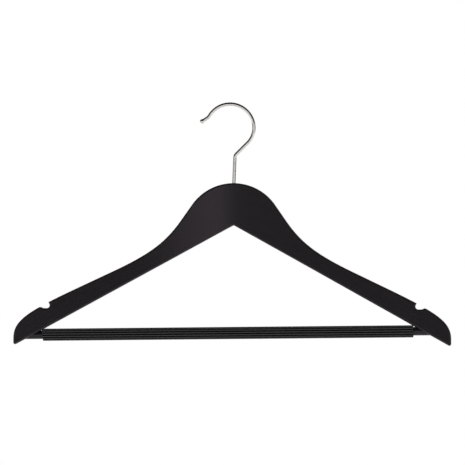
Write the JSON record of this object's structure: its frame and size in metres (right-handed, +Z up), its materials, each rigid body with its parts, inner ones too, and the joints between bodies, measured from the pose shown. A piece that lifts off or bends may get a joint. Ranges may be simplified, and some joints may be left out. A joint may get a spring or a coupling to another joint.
{
  "type": "wooden shirt hanger",
  "caption": "Contoured wooden clothes hanger with a swivelling wire hook, strap notches and a ribbed trouser bar between the arm ends.",
  "frame": {"origin": "the point inside the top of the hook's round that rests on the clothes rail", "axes": "+X along the hanger to the right as seen from the front, -Y out of the front, which is also where the arms sweep to, +Z up along the hook's shank"},
  "size_m": [0.4454, 0.0394, 0.2466],
  "materials": {
    "black_lacquered_wood": "satin black lacquer with a faint grain",
    "ribbed_vinyl": "matt black soft vinyl with ribs along its length",
    "chrome_wire": "polished chrome plate",
    "zinc_steel": "dull zinc plate"
  },
  "bodies": {
    "hook": {"hook": "chrome_wire", "hook_washer": "zinc_steel", "hook_nut": "zinc_steel"},
    "hanger": {"left_arm": "black_lacquered_wood", "right_arm": "black_lacquered_wood", "trouser_bar": "black_lacquered_wood", "bar_sleeve": "ribbed_vinyl", "left_brad": "zinc_steel", "right_brad": "zinc_steel"}
  },
  "joints": [
    {"name": "hook_swivel", "type": "hinge", "parent": "hook", "child": "hanger", "pos_m": [0.0046, 0, -0.0789], "axis": [0, 0, 1], "continuous": true}
  ]
}
